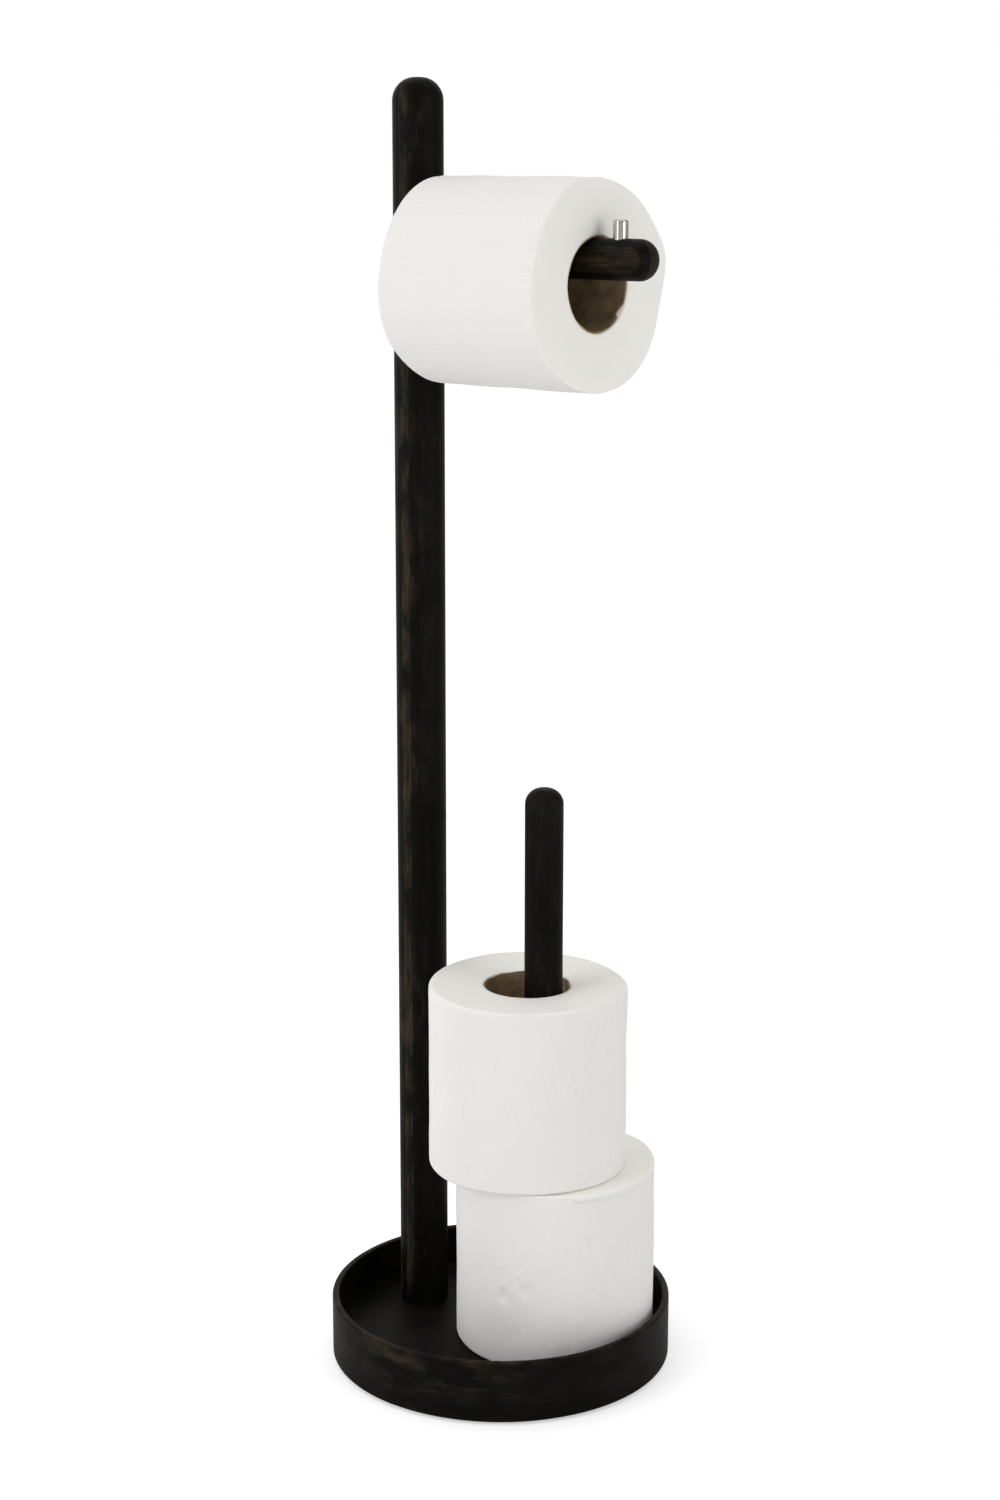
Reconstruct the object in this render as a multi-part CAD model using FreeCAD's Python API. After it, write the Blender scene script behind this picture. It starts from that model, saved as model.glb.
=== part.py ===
import FreeCAD, Part
import math
import os

os.makedirs("parts", exist_ok=True)

# Free-standing toilet paper holder: a stained wooden tray carries a tall post with a sideways arm
# for the roll in use, and a short spindle for two spare rolls.
# Millimetres. The origin is at the centre of the underside, +Z is up and the arm points along +X,
# so the post, the arm, the spindle and the tray's centre lie in the plane Y = 0.

# Tray
tray_radius = 91.0
tray_height = 34.5
tray_wall_thickness = 3.6
tray_floor_thickness = 12.7
tray_rim_outer_round = 1.3
tray_rim_inner_round = 1.0
tray_foot_round = 1.5

# Felt pad under the tray
pad_thickness = 1.3
pad_radius = 87.5

# Steel ballast plate, flush with the underside of the tray floor
ballast_radius = 70.0
ballast_thickness = 4.0
ballast_recess_gap = 0.5
ballast_access_radius = 11.0
ballast_screw_circle_radius = 58.0
ballast_screw_count = 4
ballast_screw_first_angle = 45.0

# Countersunk wood screws that hold the ballast plate
wood_screw_length = 10.0
wood_screw_shank_radius = 1.75
wood_screw_head_radius = 3.5
wood_screw_head_height = 1.75
wood_screw_drive_radius = 1.2
wood_screw_drive_depth = 1.0

# Post
post_x = -55.5
post_radius = 13.0
post_top_z = 672.0
post_top_flat_radius = 1.5

# Arm
arm_z = 585.0
arm_radius = 10.0
arm_tip_x = 94.3
arm_tip_flat_radius = 1.5
arm_tenon_radius = 6.0
arm_tenon_past_post_axis = 4.0
tenon_hole_end_gap = 0.5

# Stop pin near the end of the arm
stop_pin_x = 74.3
stop_pin_radius = 3.7
stop_pin_stands_proud = 8.8
stop_pin_depth_in_arm = 11.0
stop_pin_edge_round = 1.1
stop_pin_hole_end_gap = 0.5

# Spindle for the spare rolls
spindle_x = 28.9
spindle_radius = 10.0
spindle_top_z = 318.0
spindle_top_flat_radius = 1.5

# Machine screws, washers and threaded inserts that hold the post and the spindle to the tray
bolt_shank_radius = 2.9
bolt_length = 25.0
bolt_head_radius = 5.25
bolt_head_height = 3.3
bolt_socket_across_flats = 4.0
bolt_socket_depth = 2.0
bolt_hole_radius = 3.2
washer_outer_radius = 9.0
washer_thickness = 1.6
washer_recess_radius = 10.0
washer_recess_depth_above_plate = 2.2
insert_outer_radius = 4.5
insert_bore_radius = 3.0
insert_length = 13.0
bolt_tip_room = 4.0

# Wooden locating pin beside the post's bolt
locating_dowel_radius = 2.0
locating_dowel_length = 12.0
locating_dowel_offset = 8.5

# Toilet rolls
roll_radius = 52.3
roll_width = 98.0
roll_edge_round = 2.0
core_bore_radius = 22.5
core_wall = 1.0
core_end_recess = 0.2
roll_rest_gap = 0.2
core_on_arm_gap = 0.3
hanging_roll_back_x = -36.4
lower_roll_centre = (28.3, 12.1)
upper_roll_centre = (17.0, 2.0)

# Levels and radii that follow from the sizes above
tray_inner_radius = tray_radius - tray_wall_thickness
tray_floor_z = pad_thickness + tray_floor_thickness
ballast_top_z = pad_thickness + ballast_thickness
washer_top_z = ballast_top_z + washer_recess_depth_above_plate
bolt_seat_z = washer_top_z - washer_thickness
bolt_tip_z = bolt_seat_z + bolt_length
core_outer_radius = core_bore_radius + core_wall
lower_roll_z = tray_floor_z + roll_rest_gap
upper_roll_z = lower_roll_z + roll_width + roll_rest_gap
hanging_roll_z = arm_z + arm_radius + core_on_arm_gap - core_bore_radius

UP = FreeCAD.Vector(0, 0, 1)
ALONG_X = FreeCAD.Vector(1, 0, 0)
FULL_TURN = 360.0
HEXAGON_SIDES = 6


def cylinder(radius, length, base=(0, 0, 0), axis=UP):
    return Part.makeCylinder(radius, length, FreeCAD.Vector(*base), axis)


def revolved(edges):
    """Solid made by turning a closed outline in the XZ plane a full turn about Z."""
    face = Part.Face(Part.Wire(edges))
    return face.revolve(FreeCAD.Vector(0, 0, 0), UP, FULL_TURN)


def line(start, end):
    """Straight outline edge between two (radius, height) points."""
    first = FreeCAD.Vector(start[0], 0, start[1])
    last = FreeCAD.Vector(end[0], 0, end[1])
    return Part.LineSegment(first, last).toShape()


def quarter_arc(centre, radius, start_angle):
    """Quarter circle in the outline, from start_angle on, in degrees up from the radial direction."""
    points = []
    for step in (0.0, 45.0, 90.0):
        angle = math.radians(start_angle + step)
        across = centre[0] + radius * math.cos(angle)
        height = centre[1] + radius * math.sin(angle)
        points.append(FreeCAD.Vector(across, 0, height))
    return Part.Arc(*points).toShape()


def domed_rod(radius, length, flat_radius):
    """Upright round rod from z = 0, whose top is rounded over, leaving a small flat in the middle."""
    dome = radius - flat_radius
    shoulder = length - dome
    return revolved([
        line((0, 0), (radius, 0)),
        line((radius, 0), (radius, shoulder)),
        quarter_arc((flat_radius, shoulder), dome, 0.0),
        line((flat_radius, length), (0, length)),
        line((0, length), (0, 0)),
    ])


def make_tray_wall():
    """Bent ring, square inside at the bottom and rounded at its rim and outer foot."""
    outer = tray_radius
    inner = tray_inner_radius
    foot = pad_thickness + tray_foot_round
    outer_rim = tray_height - tray_rim_outer_round
    inner_rim = tray_height - tray_rim_inner_round
    return revolved([
        line((inner, pad_thickness), (outer - tray_foot_round, pad_thickness)),
        quarter_arc((outer - tray_foot_round, foot), tray_foot_round, -90.0),
        line((outer, foot), (outer, outer_rim)),
        quarter_arc((outer - tray_rim_outer_round, outer_rim), tray_rim_outer_round, 0.0),
        line((outer - tray_rim_outer_round, tray_height), (inner + tray_rim_inner_round, tray_height)),
        quarter_arc((inner + tray_rim_inner_round, inner_rim), tray_rim_inner_round, 90.0),
        line((inner, inner_rim), (inner, pad_thickness)),
    ])


def ballast_screw_places():
    """(x, y) of each screw, evenly spaced on its circle."""
    places = []
    for index in range(ballast_screw_count):
        angle = math.radians(ballast_screw_first_angle + index * FULL_TURN / ballast_screw_count)
        x = ballast_screw_circle_radius * math.cos(angle)
        y = ballast_screw_circle_radius * math.sin(angle)
        places.append((x, y))
    return places


def wood_screw_body(x, y):
    """Outside of one screw, head down and flush with the underside of the plate."""
    shank_end = pad_thickness + wood_screw_length
    head = Part.makeCone(wood_screw_head_radius, wood_screw_shank_radius, wood_screw_head_height,
                         FreeCAD.Vector(x, y, pad_thickness), UP)
    shank_length = wood_screw_length - wood_screw_head_height - wood_screw_shank_radius
    shank = cylinder(wood_screw_shank_radius, shank_length, (x, y, pad_thickness + wood_screw_head_height))
    point = Part.makeCone(wood_screw_shank_radius, 0, wood_screw_shank_radius,
                          FreeCAD.Vector(x, y, shank_end - wood_screw_shank_radius), UP)
    return head.fuse(shank).fuse(point).removeSplitter()


def make_ballast_screws():
    screws = []
    for x, y in ballast_screw_places():
        drive = cylinder(wood_screw_drive_radius, wood_screw_drive_depth, (x, y, pad_thickness))
        screws.append(wood_screw_body(x, y).cut(drive))
    return Part.makeCompound(screws)


def make_ballast_plate():
    """Round plate with room for the two bolt heads and a countersunk hole for each screw."""
    plate = cylinder(ballast_radius, ballast_thickness, (0, 0, pad_thickness))
    for x in (post_x, spindle_x):
        plate = plate.cut(cylinder(ballast_access_radius, ballast_thickness, (x, 0, pad_thickness)))
    for x, y in ballast_screw_places():
        plate = plate.cut(wood_screw_body(x, y))
    return plate


def make_tray_floor():
    """Disc with a recess for the plate, and from below the holes for the bolts, washers, pin and screws."""
    disc = cylinder(tray_inner_radius, tray_floor_thickness, (0, 0, pad_thickness))
    disc = disc.cut(cylinder(ballast_radius + ballast_recess_gap, ballast_thickness, (0, 0, pad_thickness)))
    for x in (post_x, spindle_x):
        disc = disc.cut(cylinder(washer_recess_radius, washer_top_z - pad_thickness, (x, 0, pad_thickness)))
        disc = disc.cut(cylinder(bolt_hole_radius, tray_floor_thickness, (x, 0, pad_thickness)))
    for x, y in ballast_screw_places():
        disc = disc.cut(wood_screw_body(x, y))
    return disc.cut(make_locating_dowel())


def make_base_pad():
    return cylinder(pad_radius, pad_thickness)


def foot_hole(x):
    """Hole in the foot of a rod: the insert's seat, and beyond it room for the end of the bolt."""
    seat = cylinder(insert_outer_radius, insert_length, (x, 0, tray_floor_z))
    room_length = bolt_tip_z + bolt_tip_room - tray_floor_z
    return seat.fuse(cylinder(bolt_hole_radius, room_length, (x, 0, tray_floor_z)))


def make_bolt(x):
    """Round-headed socket screw, head down, whose head bears on its washer."""
    head = cylinder(bolt_head_radius, bolt_head_height, (x, 0, bolt_seat_z - bolt_head_height))
    shank = cylinder(bolt_shank_radius, bolt_length, (x, 0, bolt_seat_z))
    corner_radius = bolt_socket_across_flats / math.sqrt(3)
    corners = []
    for index in range(HEXAGON_SIDES + 1):
        angle = math.radians(index * FULL_TURN / HEXAGON_SIDES)
        corners.append(FreeCAD.Vector(x + corner_radius * math.cos(angle), corner_radius * math.sin(angle),
                                      bolt_seat_z - bolt_head_height))
    socket = Part.Face(Part.makePolygon(corners)).extrude(UP * bolt_socket_depth)
    return head.fuse(shank).removeSplitter().cut(socket)


def make_washer(x):
    disc = cylinder(washer_outer_radius, washer_thickness, (x, 0, bolt_seat_z))
    return disc.cut(cylinder(bolt_hole_radius, washer_thickness, (x, 0, bolt_seat_z)))


def make_insert(x):
    sleeve = cylinder(insert_outer_radius, insert_length, (x, 0, tray_floor_z))
    return sleeve.cut(cylinder(insert_bore_radius, insert_length, (x, 0, tray_floor_z)))


def make_locating_dowel():
    """Small pin that stands half in the tray floor and half in the post, on the post's outer side."""
    base = (post_x - locating_dowel_offset, 0, tray_floor_z - locating_dowel_length / 2)
    return cylinder(locating_dowel_radius, locating_dowel_length, base)


def arm_tenon(end_gap):
    """Round tenon that runs through the post's axis. end_gap makes its hole a little deeper."""
    start_x = post_x - arm_tenon_past_post_axis - end_gap
    return cylinder(arm_tenon_radius, post_x + post_radius - start_x, (start_x, 0, arm_z), ALONG_X)


def make_post():
    rod = domed_rod(post_radius, post_top_z - tray_floor_z, post_top_flat_radius)
    rod.translate(FreeCAD.Vector(post_x, 0, tray_floor_z))
    rod = rod.cut(foot_hole(post_x))
    rod = rod.cut(make_locating_dowel())
    return rod.cut(arm_tenon(tenon_hole_end_gap))


def make_spindle():
    rod = domed_rod(spindle_radius, spindle_top_z - tray_floor_z, spindle_top_flat_radius)
    rod.translate(FreeCAD.Vector(spindle_x, 0, tray_floor_z))
    return rod.cut(foot_hole(spindle_x))


def stop_pin_hole():
    depth = stop_pin_depth_in_arm + stop_pin_hole_end_gap
    return cylinder(stop_pin_radius, depth, (stop_pin_x, 0, arm_z + arm_radius - depth))


def make_arm():
    """Rod from the post's axis to the tip, hollowed to fit round the post, with its tenon and pin hole."""
    rod = domed_rod(arm_radius, arm_tip_x - post_x, arm_tip_flat_radius)
    rod.rotate(FreeCAD.Vector(0, 0, 0), FreeCAD.Vector(0, 1, 0), 90.0)
    rod.translate(FreeCAD.Vector(post_x, 0, arm_z))
    clear_height = 4 * arm_radius
    rod = rod.cut(cylinder(post_radius, clear_height, (post_x, 0, arm_z - clear_height / 2)))
    rod = rod.fuse(arm_tenon(0.0)).removeSplitter()
    return rod.cut(stop_pin_hole())


def make_stop_pin():
    """Straight pin with a rounded top edge, standing up from the arm."""
    length = stop_pin_depth_in_arm + stop_pin_stands_proud
    pin = domed_rod(stop_pin_radius, length, stop_pin_radius - stop_pin_edge_round)
    pin.translate(FreeCAD.Vector(stop_pin_x, 0, arm_z + arm_radius - stop_pin_depth_in_arm))
    return pin


def upright_paper():
    """Wound paper as one thick tube standing on z = 0, rounded at both outer edges."""
    flank = roll_radius - roll_edge_round
    top = roll_width - roll_edge_round
    return revolved([
        line((core_outer_radius, 0), (flank, 0)),
        quarter_arc((flank, roll_edge_round), roll_edge_round, -90.0),
        line((roll_radius, roll_edge_round), (roll_radius, top)),
        quarter_arc((flank, top), roll_edge_round, 0.0),
        line((flank, roll_width), (core_outer_radius, roll_width)),
        line((core_outer_radius, roll_width), (core_outer_radius, 0)),
    ])


def upright_core():
    """Cardboard tube, a little shorter than the paper at each end."""
    length = roll_width - 2 * core_end_recess
    tube = cylinder(core_outer_radius, length, (0, 0, core_end_recess))
    return tube.cut(cylinder(core_bore_radius, length, (0, 0, core_end_recess)))


def standing(shape, centre, z):
    """A roll's piece moved to where it stands on the spindle."""
    shape.translate(FreeCAD.Vector(centre[0], centre[1], z))
    return shape


def hanging(shape):
    """A roll's piece laid along +X and moved to where it hangs on the arm."""
    shape.rotate(FreeCAD.Vector(0, 0, 0), FreeCAD.Vector(0, 1, 0), 90.0)
    shape.translate(FreeCAD.Vector(hanging_roll_back_x, 0, hanging_roll_z))
    return shape


nodes = {
    "tray_wall": make_tray_wall(),
    "tray_floor": make_tray_floor(),
    "base_pad": make_base_pad(),
    "ballast_plate": make_ballast_plate(),
    "ballast_screws": make_ballast_screws(),
    "post": make_post(),
    "post_bolt": make_bolt(post_x),
    "post_washer": make_washer(post_x),
    "post_insert": make_insert(post_x),
    "locating_dowel": make_locating_dowel(),
    "arm": make_arm(),
    "stop_pin": make_stop_pin(),
    "spindle": make_spindle(),
    "spindle_bolt": make_bolt(spindle_x),
    "spindle_washer": make_washer(spindle_x),
    "spindle_insert": make_insert(spindle_x),
    "hanging_roll_paper": hanging(upright_paper()),
    "hanging_roll_core": hanging(upright_core()),
    "lower_roll_paper": standing(upright_paper(), lower_roll_centre, lower_roll_z),
    "lower_roll_core": standing(upright_core(), lower_roll_centre, lower_roll_z),
    "upper_roll_paper": standing(upright_paper(), upper_roll_centre, upper_roll_z),
    "upper_roll_core": standing(upright_core(), upper_roll_centre, upper_roll_z),
}

for name, shape in nodes.items():
    shape.exportStep("parts/" + name + ".step")
    print(name, "valid", shape.isValid(), "solids", len(shape.Solids), "volume", round(shape.Volume, 1))
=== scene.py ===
"""Looks of a free-standing toilet paper holder: black-stained bamboo, a steel stop pin and three paper rolls.

Everything is in metres in the frame's own axes: +Z up, +X along the arm, the tray's centre at the origin.
"""

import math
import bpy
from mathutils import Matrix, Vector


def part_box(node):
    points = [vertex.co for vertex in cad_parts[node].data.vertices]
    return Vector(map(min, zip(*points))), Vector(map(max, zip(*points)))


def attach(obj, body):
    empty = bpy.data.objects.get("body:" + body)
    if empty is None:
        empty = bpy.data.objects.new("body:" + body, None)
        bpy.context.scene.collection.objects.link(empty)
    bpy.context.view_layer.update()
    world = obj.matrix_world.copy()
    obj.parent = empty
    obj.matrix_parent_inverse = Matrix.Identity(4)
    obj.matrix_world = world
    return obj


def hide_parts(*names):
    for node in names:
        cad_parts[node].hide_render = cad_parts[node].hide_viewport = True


bl_info = {
    "name": "Toilet Paper Stand",
    "version": (1, 0, 0),
    "blender": (4, 5, 0),
    "location": "3D View > Sidebar > Paper Stand",
    "description": "Finishes a toilet paper stand: stained wood, steel, wound paper rolls and a plain studio",
    "category": "Object",
}

import bpy
import numpy as np
from mathutils import Euler, Matrix, Vector

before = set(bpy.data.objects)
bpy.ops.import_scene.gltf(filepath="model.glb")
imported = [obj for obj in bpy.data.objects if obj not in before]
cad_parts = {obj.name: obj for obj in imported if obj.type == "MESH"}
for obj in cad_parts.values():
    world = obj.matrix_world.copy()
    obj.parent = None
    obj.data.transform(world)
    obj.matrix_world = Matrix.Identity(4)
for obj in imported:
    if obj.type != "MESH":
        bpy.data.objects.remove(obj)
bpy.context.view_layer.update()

MM = 0.001
FULL_TURN = 2.0 * math.pi

# Sizes read from the frame: (lowest corner, highest corner) of each piece at rest
WALL_LOW, WALL_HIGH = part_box("tray_wall")
POST_LOW, POST_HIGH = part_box("post")
TRAY_RADIUS = 0.5 * (WALL_HIGH.x - WALL_LOW.x)
POST_X = 0.5 * (POST_LOW.x + POST_HIGH.x)
POST_RADIUS = 0.5 * (POST_HIGH.x - POST_LOW.x)

# How each roll differs from the others. Angles are in degrees about the roll's own axis: from +X for a
# standing roll, and from +Y towards +Z for the hanging one.
#   seed            which set of ripples and embossed waves it gets
#   edge            rounding where the outer wraps turn into the end faces
#   bulges          where the wraps stand out or are pressed flat: (angle, half-width in degrees, height)
#   bore_bulges     the same for the bore and its core
#   dish            how far the middle of the far end lies below its rim
#   lean, lean_to   how far the far end rises at its rim, towards the angle lean_to
#   flow, swirl     embossed lines that run straight along the roll in one turn, and how far they wander
#   crumple         depth of the wrinkles near its first end
#   tail            angle where the last sheet ends
#   lip             how far the crushed edge of the last sheet stands out, just past the tail
ROLL_FORMS = {
    "hanging_roll": dict(
        seed=3, edge=1.6 * MM, bore_bulges=(), dish=0.9 * MM, lean=0.0, lean_to=0.0,
        bulges=((14.0, 13.0, 3.1 * MM), (-15.0, 14.0, -1.4 * MM), (-56.0, 24.0, 1.6 * MM),
                (72.0, 26.0, -2.0 * MM), (160.0, 20.0, -1.4 * MM), (-155.0, 22.0, 1.3 * MM)),
        flow=30, swirl=3.0, crumple=0.08 * MM, tail=140.0, lip=0.0),
    "upper_roll": dict(
        seed=11, edge=1.9 * MM, bore_bulges=((45.0, 28.0, -1.6 * MM),), dish=0.4 * MM, lean=1.1 * MM,
        lean_to=140.0,
        bulges=((140.0, 36.0, 2.2 * MM), (-38.0, 28.0, -1.2 * MM), (64.0, 18.0, -1.2 * MM),
                (-98.0, 22.0, 0.8 * MM)),
        flow=66, swirl=1.5, crumple=0.08 * MM, tail=115.0, lip=0.0),
    "lower_roll": dict(
        seed=7, edge=1.7 * MM, bore_bulges=(), dish=0.4 * MM, lean=1.2 * MM, lean_to=80.0,
        bulges=((75.0, 26.0, 1.6 * MM), (-150.0, 30.0, 1.2 * MM), (-35.0, 30.0, -0.3 * MM)),
        flow=56, swirl=1.9, crumple=0.34 * MM, tail=-40.4, lip=1.0 * MM),
}


# ---------------------------------------------------------------- settings


def colour_setting(name, description, default):
    """A colour, as red, green and blue from 0 to 1."""
    return bpy.props.FloatVectorProperty(name=name, description=description, default=default, subtype="COLOR",
                                         size=3, min=0.0, max=1.0)


def length_setting(name, description, default, least, most):
    """A length in metres."""
    return bpy.props.FloatProperty(name=name, description=description, default=default, unit="LENGTH",
                                   min=least, max=most)


def angle_setting(name, description, degrees):
    """An angle, given in degrees."""
    return bpy.props.FloatProperty(name=name, description=description, default=math.radians(degrees),
                                   subtype="ANGLE")


def level_setting(name, description, default):
    """A strength or power, 0 or more."""
    return bpy.props.FloatProperty(name=name, description=description, default=default, min=0.0)


class StainSettings(bpy.types.PropertyGroup):
    """Black-stained bamboo of the post, arm, spindle and tray."""

    stain: colour_setting("Stain", "Colour where the stain covers fully", (0.0030, 0.0028, 0.0023))
    # This colour also shows as painted sheen on the post's side that faces the key light, and on the arm.
    bare: colour_setting(
        "Rubbed fibre", "Colour where the fibres show through the stain", (0.078, 0.056, 0.031))
    strip_width: length_setting("Strip width", "Width of one laminated bamboo strip", 5.2 * MM, 0.001, 0.05)
    joint_spacing: length_setting(
        "Growth ring spacing", "Distance between the dark rings along one strip", 118 * MM, 0.02, 1.0)
    ior: bpy.props.FloatProperty(
        name="Refractive index", description="Lower than real wood's, so the stain stays black at low angles",
        min=1.0, max=2.0, default=1.14)
    fibre_depth: length_setting("Fibre depth", "Depth of the grain in the surface", 0.05 * MM, 0.0, 0.001)


class MetalSettings(bpy.types.PropertyGroup):
    """Steel and brass."""

    stainless: colour_setting("Stainless steel", "Colour of the stop pin", (0.56, 0.54, 0.50))
    plated: colour_setting("Plated steel", "Colour of the screws, washers and ballast", (0.52, 0.53, 0.55))
    brass: colour_setting("Brass", "Colour of the threaded inserts", (0.72, 0.53, 0.25))
    turning_pitch: length_setting(
        "Turning pitch", "Distance between the fine rings left by the lathe", 0.16 * MM, 0.00002, 0.001)


class PaperSettings(bpy.types.PropertyGroup):
    """Tissue rolls and their cardboard cores."""

    side: colour_setting("Tissue side", "Colour of the outer wraps", (0.862, 0.852, 0.822))
    end: colour_setting("Tissue ends", "Colour of the cut ends", (0.930, 0.905, 0.858))
    kraft: colour_setting("Kraft board", "Colour of the cores", (0.275, 0.196, 0.108))
    sheet: length_setting(
        "Sheet thickness", "Thickness of one wrap, the step where the last sheet ends", 0.28 * MM, 0.0, 0.002)
    emboss_depth: length_setting("Emboss depth", "Height of the embossed wavy lines", 0.06 * MM, 0.0, 0.001)
    emboss_width: length_setting("Emboss width", "Half-width of an embossed line", 0.3 * MM, 0.0001, 0.005)
    slack: length_setting(
        "Slack", "Depth of the soft ripples in the loose outer wraps", 0.16 * MM, 0.0, 0.005)
    core_wall: length_setting("Core wall", "Thickness of the cardboard tube", 0.8 * MM, 0.0002, 0.003)
    core_ply_lead: length_setting("Core ply lead", "Rise of the spiral seam in one turn", 118 * MM, 0.01, 1.0)


class StageSettings(bpy.types.PropertyGroup):
    """Camera, lights and floor."""

    azimuth: angle_setting(
        "Azimuth", "Turn of the camera round the stand, from straight in front of it", 40.195)
    distance: bpy.props.FloatProperty(
        name="Distance", description="Level distance from the tray's centre to the camera", unit="LENGTH",
        min=0.1, default=1.3197)
    height: bpy.props.FloatProperty(
        name="Height", description="Height of the camera above the floor", unit="LENGTH", default=0.6327)
    pitch: angle_setting("Pitch", "How far the camera looks down", 12.766)
    aim: angle_setting("Aim", "How far the camera looks to the left of the tray's centre", 0.03)
    tilt: angle_setting("Tilt", "Turn of the camera about its own line of sight", 0.06)
    lens: bpy.props.FloatProperty(
        name="Lens", description="Focal length in millimetres on a 36 mm frame", min=10.0, default=62.79)
    backdrop: colour_setting("Backdrop", "Colour of the floor", (0.78, 0.78, 0.78))
    lift: level_setting("Floor lift", "Glow that keeps the seen floor near white", 0.46)
    surround: level_setting("Surround light", "Strength of the white surround at its brightest", 1.0)
    screen: bpy.props.FloatProperty(
        name="Screen", description="Share of the surround light left behind the camera", min=0.0, max=1.0,
        default=0.3)
    key: level_setting("Key light", "Power of the soft light on the left", 12.9)
    fill: level_setting("Fill light", "Power of the soft light on the right", 11.8)
    front: level_setting("Front light", "Power of the soft light low behind the camera", 1.0)
    top: level_setting("Top light", "Power of the soft light overhead", 1.4)


SETTING_GROUPS = {
    "stand_stain": StainSettings,
    "stand_metal": MetalSettings,
    "stand_paper": PaperSettings,
    "stand_stage": StageSettings,
}


# ---------------------------------------------------------------- meshes


def smoothstep(low, high, value):
    """0 below low, 1 above high, and the cubic 3t^2 - 2t^3 between."""
    share = np.clip((value - low) / (high - low), 0.0, 1.0)
    return share * share * (3.0 - 2.0 * share)


def closed_ring_mesh(name, points, attributes):
    """Mesh object from a grid of points that closes on itself both round the axis and along the profile.

    points has the shape (turns, profile, 3). Each quad joins a point to the next ones both ways, counted
    round again at the end, and the quads are turned over if they enclose a negative volume, so that they
    face outwards. attributes holds one array of the same grid for each name, a number or a vector a point.
    """
    turns, steps = points.shape[:2]
    index = np.arange(turns * steps).reshape(turns, steps)
    ahead = np.roll(index, -1, axis=0)
    quads = np.stack([index, ahead, np.roll(ahead, -1, axis=1), np.roll(index, -1, axis=1)], axis=-1)
    quads = quads.reshape(-1, 4)
    flat = points.reshape(-1, 3)
    corner = flat[quads]
    volume = np.einsum("ij,ij->i", corner[:, 0], np.cross(corner[:, 1], corner[:, 2])).sum()
    volume += np.einsum("ij,ij->i", corner[:, 0], np.cross(corner[:, 2], corner[:, 3])).sum()
    if volume < 0:
        quads = quads[:, ::-1]
    mesh = bpy.data.meshes.new(name)
    mesh.from_pydata(flat, [], quads)
    for label, values in attributes.items():
        if values.ndim == 3:
            layer = mesh.attributes.new(label, "FLOAT_VECTOR", "POINT")
            layer.data.foreach_set("vector", values.astype(np.float32).ravel())
        else:
            layer = mesh.attributes.new(label, "FLOAT", "POINT")
            layer.data.foreach_set("value", values.astype(np.float32).ravel())
    mesh.polygons.foreach_set("use_smooth", np.ones(len(quads), dtype=bool))
    mesh.update()
    piece = bpy.data.objects.new(name, mesh)
    bpy.context.scene.collection.objects.link(piece)
    return piece


def ripple(angle, height, seed, count, harmonics, wavelengths):
    """Smooth random relief about -1 to 1: the mean of count waves sin(k angle + 2 pi height / w + phase).

    k is a whole number from the harmonics range, so that the relief meets itself after a turn, and w is a
    length from the wavelengths range. The sum is divided by the square root of count.
    """
    draw = np.random.default_rng(seed)
    total = np.zeros(np.broadcast(angle, height).shape)
    for _ in range(count):
        turns = draw.integers(harmonics[0], harmonics[1] + 1)
        wave = draw.uniform(*wavelengths) * draw.choice([-1.0, 1.0])
        total += np.sin(turns * angle + FULL_TURN * height / wave + draw.uniform(0.0, FULL_TURN))
    return total / math.sqrt(count)


def roll_profile(bore, radius, width, edge):
    """Outline of a wound roll as a closed loop: up the bore, out over one end, down the side, back in.

    Returns radius, height, and the outline's own outward direction (across, up) at each point. The side
    meets both ends in a quarter circle of radius edge.
    """
    bore_steps, end_steps, arc_steps, side_steps = 8, 24, 7, 148
    flank = radius - edge
    rise = np.linspace(0.0, 1.0, bore_steps, endpoint=False)
    out = np.linspace(0.0, 1.0, end_steps, endpoint=False)
    turn = np.linspace(0.0, 0.5 * math.pi, arc_steps, endpoint=False)
    fall = np.linspace(0.0, 1.0, side_steps, endpoint=False)
    no_bore, end, side = np.zeros(bore_steps), np.ones(end_steps), np.ones(side_steps)
    rho = [bore + 0 * rise, bore + (flank - bore) * out, flank + edge * np.sin(turn), radius * side,
           flank + edge * np.cos(turn), flank - (flank - bore) * out]
    z = [width * rise, width * end, width - edge + edge * np.cos(turn),
         width - edge - (width - 2 * edge) * fall, edge - edge * np.sin(turn), 0 * end]
    across = [no_bore, 0 * end, np.sin(turn), side, np.cos(turn), 0 * end]
    up = [no_bore, end, np.cos(turn), 0 * side, -np.sin(turn), -end]
    return tuple(np.concatenate(part) for part in (rho, z, across, up))


def bulge_sum(angle, bulges):
    """Sum of bell-shaped bulges height * exp(-(turn / half-width)^2), with turn the short way round."""
    total = np.zeros(angle.shape)
    for centre, half_width, height in bulges:
        turn = np.mod(angle - math.radians(centre) + math.pi, FULL_TURN) - math.pi
        total += height * np.exp(-np.square(turn / math.radians(half_width)))
    return total


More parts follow.
